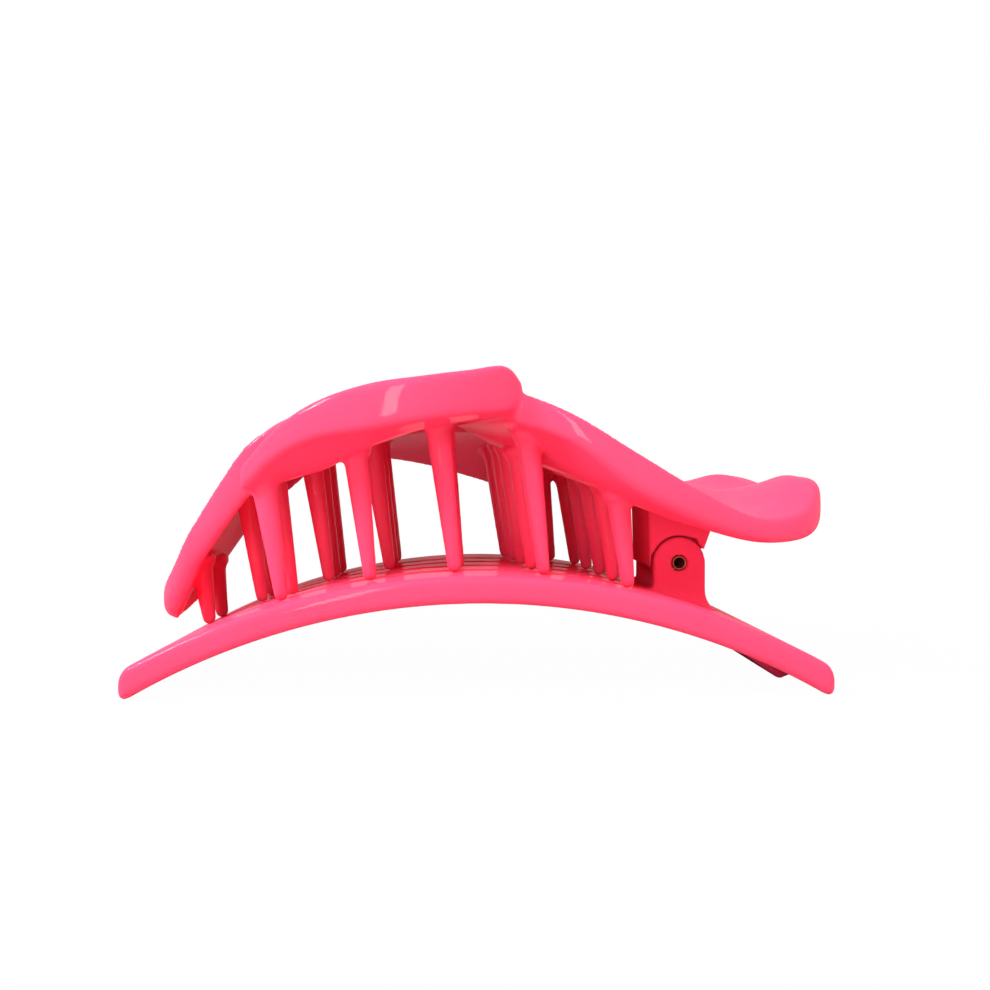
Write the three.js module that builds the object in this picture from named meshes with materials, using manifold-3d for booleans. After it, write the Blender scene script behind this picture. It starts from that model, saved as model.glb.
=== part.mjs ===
// Flat hair clip: an arched, slotted lower jaw and a five-petal upper jaw with teeth, on a sprung hinge.
// Millimetres, +Z up, +X towards the finger lever. The clip stands closed on the two ends of the lower jaw.
import * as THREE from "three";
import { mergeVertices } from "three/addons/utils/BufferGeometryUtils.js";
import Module from "manifold-3d";

// Lower jaw: an arched plate
const jawLength = 108.2;
const jawWidth = 46.8;
const jawThickness = 4.2;
const archRise = 14.38;
const edgeRound = 1.1;
const noseRound = 1.7;
const footSink = 0.3;

// Slots between the lengthways bars
const barPitch = 8;
const slotWidth = 2.6;
const slotFrontMargin = 8.6;
const slotBackMargin = 7.9;
const slotCount = 4;

// Hinge pin, ears and their fits
const hingeInset = 20.7;
const hingeRise = 5.863;
const pinRadius = 1.15;
const pinBoreRadius = 0.9;
const pinRecess = 0.25;
const earHoleClearance = 0.12;
const earRadius = 4.3;
const earOuterY = 8.5;
const earThickness = 2.3;
const earFlare = 3;
const earBury = 1.6;

// Thumb ramp under the lever end of the lower jaw
const rampWidth = 22;
const rampLength = 9.1;
const rampTipInset = 5;
const rampBackInset = 3.2;
const rampTipHeight = 0.35;
const rampBury = 1.4;

// Upper jaw: a domed plate in the shape of a blossom
const blossomWidth = 56;
const clipHeight = 49.95;
const centreOffset = 4;
const centreDrop = 7.6;
const plateThickness = 3.1;
const hubRadius = 2.4;
const hubMargin = 0.5;

// Teeth
const toothTipRadius = 0.95;
const toothRootRadius = 2.05;
const toothFlareRadius = 2.5;
const toothFlareLength = 1.8;
const toothBury = 1.1;
const tipGap = 0.3;
const toothSides = 8;
const frontLean = THREE.MathUtils.degToRad(8.5);
const backLean = THREE.MathUtils.degToRad(6.6);

// Hinge block under the upper jaw
const blockWidth = 16.6;
const blockFrontReach = 5.3;
const blockBackReach = 5.6;
const blockBury = 2.2;
const shieldThickness = 1.6;
const shieldDrop = 0.8;
const blockRise = 1.4;
const blockHeelReach = 3.9;
const blockHeelShare = 0.608;
const lugRadius = 3.6;
const lugInnerY = 3.6;
const lugGap = 0.3;
const lugBoreClearance = 0.1;
const earRelief = 0.25;
const sideRise = 1.9;
const notchReach = 3.1;
const notchRise = 4.2;

// Torsion spring
const wireRadius = 0.45;
const coilRadius = 2.2;
const coilPitch = 1.5;
const coilTurns = 3;
const springGap = 0.3;
const upperLegLength = 4.4;
const lowerLegGap = 0.45;
const lowerLegFall = THREE.MathUtils.degToRad(38);
const coilSteps = 8;
const wireSides = 5;
const selfGapNeighbours = 6;

// Overrun of a cut past a face, and the merging distance of equal points
const overrun = 1;
const mergeDistance = 0.001;

const halfLength = jawLength / 2;
const halfWidth = jawWidth / 2;
const halfBlossom = blossomWidth / 2;
const footX = halfLength - noseRound / 2;
const underRadius = (footX * footX + archRise * archRise) / (2 * archRise);
const archRadius = underRadius + jawThickness;
const archCentreZ = archRise - underRadius - footSink;
const hingeX = halfLength - hingeInset;
const hingeHeight = archTopZ(hingeX) + hingeRise;
const slotBackX = hingeX - slotBackMargin;
const rampTipX = halfLength - rampTipInset;
const rampBackX = halfLength - rampBackInset;
const rampStartX = rampBackX - rampLength;
const centreX = -centreOffset;
const centreUnderside = clipHeight - centreDrop;
const blockFrontX = hingeX - blockFrontReach;
const blockBackX = hingeX + blockBackReach;
const blockHeelX = hingeX + blockHeelReach;
const shieldBottom = hingeHeight - shieldDrop;
const blockBottom = hingeHeight + blockRise;
const earInnerY = earOuterY - earThickness;

// Each petal's rim, anticlockwise seen from above: x as a share of half the length, y as a share of half the
// blossom's width, and the rim's underside, its top and the depth of the dish inside it as shares of the height.
// The petal falls away from the blossom's centre with the power given.
const petals = [
  {
    fall: 4.4,
    rimShares: [
      [-0.665, 0.714, 0.644, 0.744, 0],
      [-0.804, 0.661, 0.534, 0.656, 0],
      [-0.865, 0.582, 0.435, 0.576, 0],
      [-0.928, 0.464, 0.327, 0.467, 0],
      [-0.972, 0.314, 0.239, 0.379, 0],
      [-0.993, 0.161, 0.205, 0.325, 0],
      [-0.998, 0, 0.193, 0.295, 0],
      [-0.976, -0.164, 0.199, 0.327, 0],
      [-0.926, -0.293, 0.279, 0.403, 0],
      [-0.88, -0.375, 0.367, 0.487, 0],
      [-0.833, -0.429, 0.429, 0.56, 0],
      [-0.767, -0.507, 0.512, 0.656, 0],
      [-0.686, -0.579, 0.604, 0.766, 0],
      [-0.61, -0.607, 0.648, 0.822, 0],
      [-0.527, -0.625, 0.68, 0.852, 0],
    ],
  },
  {
    fall: 1.9,
    rimShares: [
      [-0.695, -0.621, 0.612, 0.696, 0.056],
      [-0.582, -0.796, 0.708, 0.806, 0.12],
      [-0.462, -0.911, 0.768, 0.884, 0.104],
      [-0.314, -0.982, 0.794, 0.934, 0.058],
      [-0.157, -1, 0.824, 0.958, 0.028],
      [-0.028, -0.95, 0.844, 0.978, 0.018],
      [0.074, -0.843, 0.856, 0.994, 0.01],
      [0.115, -0.736, 0.866, 1, 0.006],
    ],
  },
  {
    fall: 0.9,
    rimShares: [
      [0.083, -0.75, 0.834, 0.938, 0],
      [0.259, -0.857, 0.768, 0.858, 0.006],
      [0.444, -0.893, 0.626, 0.738, 0.01],
      [0.628, -0.875, 0.528, 0.622, 0.016],
      [0.795, -0.814, 0.469, 0.546, 0.024],
      [0.935, -0.7, 0.467, 0.568, 0.036],
      [1.006, -0.536, 0.497, 0.648, 0.044],
      [1.013, -0.371, 0.532, 0.668, 0.05],
      [0.985, -0.2, 0.548, 0.648, 0.056],
      [0.902, -0.043, 0.536, 0.624, 0.052],
      [0.813, 0.054, 0.532, 0.6, 0.048],
    ],
  },
  {
    fall: 0.9,
    rimShares: [
      [0.832, -0.054, 0.497, 0.568, 0.02],
      [0.933, 0.143, 0.487, 0.574, 0.03],
      [1.006, 0.314, 0.499, 0.604, 0.04],
      [1.015, 0.5, 0.536, 0.648, 0.044],
      [0.935, 0.679, 0.56, 0.678, 0.044],
      [0.824, 0.786, 0.556, 0.648, 0.036],
      [0.628, 0.868, 0.568, 0.636, 0.024],
      [0.444, 0.893, 0.648, 0.74, 0.012],
      [0.259, 0.857, 0.758, 0.868, 0.004],
      [0.102, 0.743, 0.818, 0.938, 0],
    ],
  },
  {
    fall: 2.4,
    rimShares: [
      [0.277, 0.804, 0.6, 0.698, 0],
      [0.148, 0.875, 0.62, 0.738, 0],
      [-0.018, 0.946, 0.672, 0.808, 0],
      [-0.203, 1, 0.724, 0.872, 0],
      [-0.407, 0.964, 0.752, 0.896, 0],
      [-0.573, 0.804, 0.728, 0.86, 0],
      [-0.675, 0.571, 0.668, 0.804, 0],
    ],
  },
];
const sectionsPerPetal = 13;

// A petal's cross-section from its centre out and back: shares of the way out, and of the rim's height
const undersideShares = [0.2, 0.4, 0.58, 0.74, 0.85, 0.95];
const rimFaceShares = [
  [0.984, 0.04],
  [1, 0.22],
  [1, 0.76],
  [0.986, 0.95],
  [0.955, 1],
  [0.92, 0.97],
];
const topShares = [0.85, 0.74, 0.58, 0.4, 0.2];
const underRimShare = 0.95;
const rimBlendShare = [0.78, 0.92];
const dishRimShare = [0.76, 0.95];

// Tooth tips: x as a share of the way from the front end to the shield wall, and the bar that the tip rests on,
// counted from the middle one. The teeth near the hinge lean less.
const toothRows = [
  {
    lean: frontLean,
    tipShares: [
      [0.0925, 0],
      [0.0931, 1],
      [0.2032, 0],
      [0.2032, 1],
      [0.2822, -2],
      [0.2847, -1],
      [0.3431, 0],
      [0.3431, 1],
      [0.3431, 2],
      [0.4708, 0],
      [0.4708, 1],
      [0.4708, 2],
    ],
  },
  {
    lean: backLean,
    tipShares: [
      [0.4501, -2],
      [0.6107, -2],
      [0.6168, -1],
      [0.781, -2],
      [0.7652, -1],
      [0.7494, 0],
      [0.7372, 1],
      [0.7238, 2],
      [0.8285, 2],
      [0.944, -2],
      [0.9307, -1],
      [0.9173, 0],
      [0.9015, 1],
      [0.8869, 2],
    ],
  },
];

const wasm = await Module();
wasm.setup();

// Reverses a closed geometry's faces if they point inwards.
function facingOut(geometry) {
  const position = geometry.getAttribute("position");
  const index = Array.from(geometry.index.array);
  const [a, b, c] = [new THREE.Vector3(), new THREE.Vector3(), new THREE.Vector3()];
  let volume = 0;
  for (let i = 0; i < index.length; i += 3) {
    a.fromBufferAttribute(position, index[i]);
    b.fromBufferAttribute(position, index[i + 1]);
    c.fromBufferAttribute(position, index[i + 2]);
    volume += a.dot(b.cross(c));
  }
  if (volume < 0) {
    for (let i = 0; i < index.length; i += 3) {
      [index[i + 1], index[i + 2]] = [index[i + 2], index[i + 1]];
    }
    geometry.setIndex(index);
  }
  return geometry;
}

function solidFrom(geometry) {
  const bare = new THREE.BufferGeometry();
  bare.setAttribute("position", geometry.getAttribute("position"));
  bare.setIndex(geometry.index);
  const merged = facingOut(mergeVertices(bare, mergeDistance));
  return new wasm.Manifold(
    new wasm.Mesh({
      numProp: 3,
      vertProperties: new Float32Array(merged.getAttribute("position").array),
      triVerts: new Uint32Array(merged.index.array),
    }),
  );
}

function geometryFrom(solid) {
  const mesh = solid.getMesh();
  const geometry = new THREE.BufferGeometry();
  geometry.setAttribute("position", new THREE.BufferAttribute(mesh.vertProperties, mesh.numProp));
  geometry.setIndex(new THREE.BufferAttribute(mesh.triVerts, 1));
  return geometry.toNonIndexed();
}

// A closed skin over rings of equal point counts, each end filled from its middle.
function skinOver(rings) {
  const points = rings.flat();
  const count = rings[0].length;
  const index = [];
  for (let k = 0; k < rings.length - 1; k++) {
    for (let i = 0; i < count; i++) {
      const here = k * count + i;
      const next = k * count + ((i + 1) % count);
      index.push(here, next, here + count, next, next + count, here + count);
    }
  }
  const middleOf = (ring) => ring.reduce((s, p) => s.add(p), new THREE.Vector3()).divideScalar(count);
  const first = points.push(middleOf(rings[0])) - 1;
  const last = points.push(middleOf(rings[rings.length - 1])) - 1;
  const lastStart = (rings.length - 1) * count;
  for (let i = 0; i < count; i++) {
    const next = (i + 1) % count;
    index.push(first, next, i, last, lastStart + i, lastStart + next);
  }
  const geometry = new THREE.BufferGeometry().setFromPoints(points);
  geometry.setIndex(index);
  return geometry;
}

// A slab from an outline in X and Z, from one Y to another.
function slabAcross(shape, fromY, toY, curveSegments = 20) {
  const settings = { depth: toY - fromY, bevelEnabled: false, curveSegments };
  const geometry = new THREE.ExtrudeGeometry(shape, settings);
  geometry.rotateX(Math.PI / 2);
  geometry.translate(0, toY, 0);
  geometry.setIndex([...Array(geometry.getAttribute("position").count).keys()]);
  return solidFrom(geometry);
}

function outlineShape(points) {
  return new THREE.Shape(points.map(([x, z]) => new THREE.Vector2(x, z)));
}

function discAt(radius, x = hingeX, z = hingeHeight) {
  const shape = new THREE.Shape();
  shape.absarc(x, z, radius, 0, 2 * Math.PI, false);
  return shape;
}

function roundBar(radius, halfSpan) {
  return slabAcross(discAt(radius), -halfSpan, halfSpan);
}

// The height of the arch at a place along it and a depth below its top face.
function archZ(x, depth) {
  const radius = archRadius - depth;
  return archCentreZ + Math.sqrt(radius * radius - x * x);
}

function archTopZ(x) {
  return archZ(x, 0);
}

function archUnderZ(x) {
  return archZ(x, jawThickness);
}

function archPoint(x, y, depth) {
  return new THREE.Vector3(x, y, archZ(x, depth));
}

// The plate's upright cross-section: a rectangle with rounded corners, drawn in by the inset.
function plateRing(x, inset) {
  const round = Math.max(edgeRound - inset / 2, edgeRound / 4);
  const halfY = halfWidth - inset - round;
  const depths = [inset + round, jawThickness - inset - round];
  const corners = [
    [halfY, depths[0], 0],
    [-halfY, depths[0], 1],
    [-halfY, depths[1], 2],
    [halfY, depths[1], 3],
  ];
  const arcSteps = [0, 1, 2, 3];
  return corners.flatMap(([y, depth, quarter]) =>
    arcSteps.map((step) => {
      const turn = ((quarter + step / 3) * Math.PI) / 2;
      return archPoint(x, y + round * Math.cos(turn), depth - round * Math.sin(turn));
    }),
  );
}

function archedPlate() {
  const noseSteps = 4;
  const spanSteps = 26;
  const nose = Array.from({ length: noseSteps }, (_, k) => {
    const turn = (k / noseSteps) * (Math.PI / 2);
    return [halfLength - noseRound * (1 - Math.cos(turn)), noseRound * (1 - Math.sin(turn))];
  });
  const inner = halfLength - noseRound;
  const span = Array.from({ length: spanSteps + 1 }, (_, k) => [inner - (2 * inner * k) / spanSteps, 0]);
  const farNose = nose.map(([x, inset]) => [-x, inset]).reverse();
  return solidFrom(skinOver([...nose, ...span, ...farNose].map(([x, inset]) => plateRing(x, inset))));
}

// A long cut with round ends through the plate, following the arch.
function slotAt(y) {
  const front = slotFrontMargin - halfLength;
  const half = slotWidth / 2;
  const spanSteps = 14;
  const endShares = [0, 0.5, 1];
  const ends = endShares.map((share) => [half * (1 - share), half * (0.4 + 0.6 * Math.sqrt(share))]);
  const run = slotBackX - front - slotWidth;
  const stations = [
    ...ends.map(([inset, reach]) => [front + half - inset, reach]),
    ...Array.from({ length: spanSteps - 1 }, (_, k) => [front + half + (run * (k + 1)) / spanSteps, half]),
    ...ends.map(([inset, reach]) => [slotBackX - half + inset, reach]).reverse(),
  ];
  const rings = stations.map(([x, reach]) => [
    archPoint(x, y - reach, -overrun),
    archPoint(x, y + reach, -overrun),
    archPoint(x, y + reach, jawThickness + overrun),
    archPoint(x, y - reach, jawThickness + overrun),
  ]);
  return solidFrom(skinOver(rings));
}

// One ear: a round top over the pin, a straight front and a flared back.
function earShape() {
  const left = hingeX - earRadius;
  const right = hingeX + earRadius;
  const flareZ = archTopZ(right) + earFlare;
  const shape = new THREE.Shape();
  shape.moveTo(left, archTopZ(left) - earBury);
  shape.lineTo(right + earFlare, archTopZ(right + earFlare) - earBury);
  shape.lineTo(right + earFlare, archTopZ(right + earFlare));
  shape.quadraticCurveTo(right, archTopZ(right), right, flareZ);
  shape.lineTo(right, hingeHeight);
  shape.absarc(hingeX, hingeHeight, earRadius, 0, Math.PI, false);
  shape.lineTo(left, archTopZ(left) - earBury);
  const hole = new THREE.Path();
  hole.absarc(hingeX, hingeHeight, pinRadius + earHoleClearance, 0, 2 * Math.PI, true);
  shape.holes.push(hole);
  return shape;
}

function thumbRamp() {
  const shape = outlineShape([
    [rampStartX, archUnderZ(rampStartX)],
    [rampTipX - rampTipHeight, rampTipHeight],
    [rampTipX + rampTipHeight, rampTipHeight],
    [rampBackX, archUnderZ(rampBackX)],
    [rampBackX, archUnderZ(rampBackX) + rampBury],
    [rampStartX, archUnderZ(rampStartX) + rampBury],
  ]);
  return slabAcross(shape, -rampWidth / 2, rampWidth / 2);
}

function floorCut() {
  const cut = new THREE.BoxGeometry(jawLength + overrun, jawWidth + overrun, jawLength);
  cut.translate(0, 0, -jawLength / 2);
  return solidFrom(cut);
}

function lowerJaw() {
  let jaw = archedPlate();
  for (let k = 0; k < slotCount; k++) {
    jaw = jaw.subtract(slotAt((k - (slotCount - 1) / 2) * barPitch));
  }
  jaw = jaw.add(thumbRamp()).subtract(floorCut());
  jaw = jaw.add(slabAcross(earShape(), earInnerY, earOuterY));
  return jaw.add(slabAcross(earShape(), -earOuterY, -earInnerY));
}

// Where a petal's section stands: its rim's place, underside and top, from the control points of the rim.
function rimStations(petal) {
  const place = ([x, y], z) => new THREE.Vector3(x * halfLength, y * halfBlossom, z * clipHeight);
  const under = petal.rimShares.map((row) => place(row, row[2]));
  const over = petal.rimShares.map((row) => place(row, row[3]));
  const dish = petal.rimShares.map((row) => place(row, row[4]));
  const [underCurve, overCurve, dishCurve] = [under, over, dish].map((list) => {
    return new THREE.CatmullRomCurve3(list, false, "catmullrom", 0.5);
  });
  return Array.from({ length: sectionsPerPetal + 1 }, (_, k) => {
    const along = k / sectionsPerPetal;
    const low = underCurve.getPoint(along);
    const high = overCurve.getPoint(along);
    const reach = Math.hypot(low.x - centreX, low.y);
    const depth = Math.max(dishCurve.getPoint(along).z, 0);
    return { x: low.x, y: low.y, low: low.z, high: high.z, depth, reach, fall: petal.fall };
  });
}

function undersideOf(station, out) {
  const part = Math.min(out / underRimShare, 1);
  const dished = centreUnderside - (centreUnderside - station.low + station.depth) * Math.pow(part, station.fall);
  return dished + station.depth * THREE.MathUtils.smoothstep(out, ...dishRimShare);
}

function topOf(station, out) {
  const drop = (centreUnderside - station.low + station.depth) / (station.reach * underRimShare);
  const slope = station.fall * drop * Math.pow(out / underRimShare, station.fall - 1);
  const inner = plateThickness * Math.hypot(1, slope);
  const rim = station.high - station.low;
  const blend = THREE.MathUtils.smoothstep(out, ...rimBlendShare);
  return undersideOf(station, out) + inner * (1 - blend) + rim * blend;
}

// One section as [share of the way out, height] pairs, from the centre's underside round to its top.
function sectionOf(station) {
  const rimHeight = station.high - station.low;
  return [
    [0, centreUnderside],
    ...undersideShares.map((out) => [out, undersideOf(station, out)]),
    ...rimFaceShares.map(([out, up]) => [out, undersideOf(station, out) + up * rimHeight]),
    ...topShares.map((out) => [out, topOf(station, out)]),
    [0, centreUnderside + plateThickness],
  ];
}

function petalSolid(petal) {
  const stations = rimStations(petal);
  const sections = stations.map(sectionOf);
  const points = stations.flatMap((s, k) =>
    sections[k].map(([out, z]) => new THREE.Vector3(centreX + (s.x - centreX) * out, s.y * out, z)),
  );
  const count = sections[0].length;
  const index = [];
  for (let k = 0; k < stations.length - 1; k++) {
    for (let i = 0; i < count - 1; i++) {
      const here = k * count + i;
      const above = here + count;
      index.push(here, above, here + 1, above, above + 1, here + 1);
    }
  }
  const cap = (k, flip) => {
    const outline = sections[k].map(([out, z]) => new THREE.Vector2(out * stations[k].reach, z));
    for (const [a, b, c] of THREE.ShapeUtils.triangulateShape(outline, [])) {
      const [p, q, r] = [a, b, c].map((i) => k * count + i);
      if (flip) index.push(p, r, q);
      else index.push(p, q, r);
    }
  };
  cap(0, false);
  cap(stations.length - 1, true);
  const geometry = new THREE.BufferGeometry().setFromPoints(points);
  geometry.setIndex(index);
  return solidFrom(dropEmptyFaces(geometry));
}

// Leaves out faces that have two corners in one place, as at the blossom's centre.
function dropEmptyFaces(geometry) {
  const merged = mergeVertices(geometry, mergeDistance);
  const index = merged.index.array;
  const kept = [];
  for (let i = 0; i < index.length; i += 3) {
    const [a, b, c] = [index[i], index[i + 1], index[i + 2]];
    if (a !== b && b !== c && c !== a) kept.push(a, b, c);
  }
  merged.setIndex(kept);
  return merged;
}

const allStations = petals.map(rimStations);

// The blossom's lowest underside over a place in plan, or null outside it.
function undersideAt(x, y) {
  const angleOf = (s) => Math.atan2(s.y, s.x - centreX);
  const wanted = Math.atan2(y, x - centreX);
  let lowest = null;
  for (const stations of allStations) {
    for (let k = 0; k < stations.length - 1; k++) {
      const [from, to] = [stations[k], stations[k + 1]];
      const turn = THREE.MathUtils.euclideanModulo(angleOf(to) - angleOf(from), 2 * Math.PI);
      const part = THREE.MathUtils.euclideanModulo(wanted - angleOf(from), 2 * Math.PI);
      if (turn > Math.PI || part > turn) continue;
      const mix = part / turn;
      const blended = {
        low: THREE.MathUtils.lerp(from.low, to.low, mix),
        depth: THREE.MathUtils.lerp(from.depth, to.depth, mix),
        reach: THREE.MathUtils.lerp(from.reach, to.reach, mix),
        fall: from.fall,
      };
      const out = Math.min(Math.hypot(x - centreX, y) / blended.reach, underRimShare);
      const z = undersideOf(blended, out);
      lowest = lowest === null ? z : Math.min(lowest, z);
    }
  }
  return lowest;
}

// A tapered tooth with a round tip and a flared root, leaning towards the front.
function tooth([xShare, bar], leanAngle) {
  const tip = new THREE.Vector3(THREE.MathUtils.lerp(-halfLength, blockFrontX, xShare), bar * barPitch, 0);
  tip.z = archTopZ(tip.x) + tipGap;
  const lean = new THREE.Vector3(-Math.sin(leanAngle), 0, Math.cos(leanAngle));
  let length = 0;
  for (let k = 0; k < 30; k++) {
    const root = tip.clone().addScaledVector(lean, length);
    length += (undersideAt(root.x, root.y) + toothBury - root.z) / lean.z;
  }
  const tipArc = [0, 1, 2, 3].map((k) => {
    const turn = (k / 3) * (Math.PI / 2);
    return new THREE.Vector2(toothTipRadius * Math.sin(turn), toothTipRadius * (1 - Math.cos(turn)));
  });
  tipArc[0].x = 0;
  const flareStart = length - toothBury - toothFlareLength;
  const profile = [
    ...tipArc,
    new THREE.Vector2(toothRootRadius, flareStart),
    new THREE.Vector2((toothRootRadius + toothFlareRadius) / 2, length - toothBury - toothFlareLength / 3),
    new THREE.Vector2(toothFlareRadius, length - toothBury),
    new THREE.Vector2(toothFlareRadius, length),
    new THREE.Vector2(0, length),
  ];
  const geometry = new THREE.LatheGeometry(profile, toothSides);
  const stand = new THREE.Quaternion().setFromUnitVectors(new THREE.Vector3(0, 1, 0), lean);
  geometry.applyQuaternion(stand);
  geometry.translate(tip.x, tip.y, tip.z);
  return solidFrom(dropEmptyFaces(geometry));
}

// The block that carries the lugs, with its shield wall in front of the spring.
function hingeBlock() {
  const top = (x) => undersideAt(x, 0) + blockBury;
  const middleX = (blockFrontX + blockBackX) / 2;
  const profile = outlineShape([
    [blockFrontX, top(blockFrontX)],
    [blockFrontX + shieldThickness / 4, shieldBottom],
    [blockFrontX + shieldThickness, shieldBottom],
    [blockFrontX + 2 * shieldThickness, blockBottom],
    [blockHeelX, blockBottom],
    [blockBackX, THREE.MathUtils.lerp(blockBottom, top(blockBackX), blockHeelShare)],
    [blockBackX, top(blockBackX)],
    [middleX, top(middleX)],
  ]);
  const lugOuterY = earInnerY - lugGap;
  const halfBlock = blockWidth / 2;
  let block = slabAcross(profile, -halfBlock, halfBlock).add(roundBar(lugRadius, lugOuterY));
  const reliefRadius = earRadius + earRelief;
  const sideRelief = outlineShape([
    [hingeX - reliefRadius, hingeHeight - reliefRadius],
    [blockBackX + overrun, hingeHeight - reliefRadius],
    [blockBackX + overrun, hingeHeight + sideRise],
    [hingeX - reliefRadius, hingeHeight + sideRise],
  ]);
  const notch = outlineShape([
    [hingeX, hingeHeight],
    [hingeX + notchReach, hingeHeight + sideRise],
    [hingeX + notchReach, hingeHeight + notchRise],
    [hingeX + notchReach / 2, hingeHeight + notchRise],
  ]);
  for (const side of [-1, 1]) {
    const [from, to] = [side * lugOuterY, side * (halfBlock + overrun)].sort((a, b) => a - b);
    block = block.subtract(slabAcross(discAt(reliefRadius), from, to));
    block = block.subtract(slabAcross(sideRelief, from, to)).subtract(slabAcross(notch, from, to));
  }
  const pocketRadius = coilRadius + wireRadius + 2 * springGap;
  block = block.subtract(roundBar(pocketRadius, lugInnerY));
  const legRoom = outlineShape([
    [hingeX, hingeHeight - lugRadius - overrun],
    [blockBackX + overrun, hingeHeight - lugRadius - overrun],
    [blockBackX + overrun, hingeHeight + coilRadius + wireRadius + springGap],
    [hingeX, hingeHeight + coilRadius + wireRadius + springGap],
  ]);
  block = block.subtract(slabAcross(legRoom, -lugInnerY, lugInnerY));
  return block.subtract(roundBar(pinRadius + lugBoreClearance, lugOuterY + overrun));
}

function centreHub() {
  const height = plateThickness - 2 * hubMargin;
  const hub = new THREE.CylinderGeometry(hubRadius, hubRadius, height, 12);
  hub.rotateX(Math.PI / 2);
  hub.translate(centreX, 0, centreUnderside + plateThickness / 2);
  return solidFrom(hub);
}

function upperJaw() {
  const teeth = toothRows.flatMap((row) => row.tipShares.map((place) => tooth(place, row.lean)));
  const parts = [...petals.map(petalSolid), centreHub(), ...teeth, hingeBlock()];
  return parts.reduce((whole, part) => whole.add(part));
}

// The pin is a tube, open right through.
function hingePin() {
  const half = earOuterY - pinRecess;
  const profile = [
    [pinBoreRadius, -half],
    [pinRadius, -half],
    [pinRadius, half],
    [pinBoreRadius, half],
    [pinBoreRadius, -half],
  ].map(([radius, y]) => new THREE.Vector2(radius, y));
  const geometry = new THREE.LatheGeometry(profile, 24);
  geometry.translate(hingeX, 0, hingeHeight);
  return solidFrom(geometry);
}

// Where a leg that runs on from a place comes down to the lower jaw.
function legEnd(from, ahead) {
  const end = from.clone();
  for (let k = 0; k < 40; k++) {
    const gap = end.z - wireRadius - lowerLegGap - archTopZ(end.x);
    end.addScaledVector(ahead, gap / Math.hypot(ahead.x, ahead.z));
  }
  return end;
}

// The wire's middle line: the upper leg, the coil round the pin, and the lower leg.
function springLine() {
  const start = Math.PI / 2;
  const end = start + 2 * Math.PI * coilTurns + Math.PI - lowerLegFall;
  const turnSpan = (end - start) / (2 * Math.PI);
  const steps = Math.round(turnSpan * coilSteps);
  const onCoil = (turn) => {
    const along = (turn - start) / (end - start) - 0.5;
    return new THREE.Vector3(
      hingeX + coilRadius * Math.cos(turn),
      along * turnSpan * coilPitch,
      hingeHeight + coilRadius * Math.sin(turn),
    );
  };
  const coil = Array.from({ length: steps + 1 }, (_, k) => onCoil(start + ((end - start) * k) / steps));
  const upper = coil[0].clone().add(new THREE.Vector3(upperLegLength, 0, 0));
  const fall = new THREE.Vector3(-Math.sin(end), 0, Math.cos(end));
  const lower = legEnd(coil[steps], fall);
  const halfway = (a, b) => a.clone().lerp(b, 0.5);
  return [upper, halfway(upper, coil[0]), ...coil, halfway(coil[steps], lower), lower];
}

function wireAlong(line) {
  let side = new THREE.Vector3(0, 1, 0);
  const rings = line.map((point, k) => {
    const before = line[Math.max(k - 1, 0)];
    const after = line[Math.min(k + 1, line.length - 1)];
    const ahead = after.clone().sub(before).normalize();
    side = side.clone().addScaledVector(ahead, -side.dot(ahead)).normalize();
    const up = ahead.clone().cross(side);
    return Array.from({ length: wireSides }, (_, i) => {
      const turn = (2 * Math.PI * i) / wireSides;
      const spoke = side.clone().multiplyScalar(wireRadius * Math.cos(turn));
      return point.clone().add(spoke).addScaledVector(up, wireRadius * Math.sin(turn));
    });
  });
  return solidFrom(skinOver(rings));
}

// The least gap between the wire and itself, past the points that are its own neighbours.
function selfGap(line) {
  let least = Infinity;
  line.forEach((a, i) => {
    line.slice(i + selfGapNeighbours).forEach((b) => {
      least = Math.min(least, a.distanceTo(b) - 2 * wireRadius);
    });
  });
  return least;
}

const pinkPlastic = new THREE.MeshStandardMaterial({ color: 0xff4f80, roughness: 0.2, metalness: 0 });
const brass = new THREE.MeshStandardMaterial({ color: 0xc9a04e, roughness: 0.3, metalness: 1 });
const springSteel = new THREE.MeshStandardMaterial({ color: 0xb8bcc2, roughness: 0.3, metalness: 1 });

const clip = new THREE.Group();

function addPiece(name, solid, material) {
  const mesh = new THREE.Mesh(geometryFrom(solid), material);
  mesh.name = name;
  clip.add(mesh);
}

const springPath = springLine();
addPiece("lower_jaw", lowerJaw(), pinkPlastic);
addPiece("upper_jaw", upperJaw(), pinkPlastic);
addPiece("hinge_pin", hingePin(), brass);
addPiece("torsion_spring", wireAlong(springPath), springSteel);

// The clip's bounding box is centred on the origin in plan.
const middle = new THREE.Box3().setFromObject(clip).getCenter(new THREE.Vector3());
clip.position.set(-middle.x, -middle.y, 0);
console.log(`moved by ${clip.position.x.toFixed(3)}, ${clip.position.y.toFixed(3)} mm`);
console.log(`torsion_spring: least gap to itself ${selfGap(springPath).toFixed(2)} mm`);

export default clip;
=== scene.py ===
# Looks of the flat hair clip: smooth moulded jaws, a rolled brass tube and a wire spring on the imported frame.
# Metres, +Z up, +X towards the finger lever.
import math

import bmesh
import bpy
import numpy as np
from mathutils import Matrix, Vector
from mathutils.bvhtree import BVHTree


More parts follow.
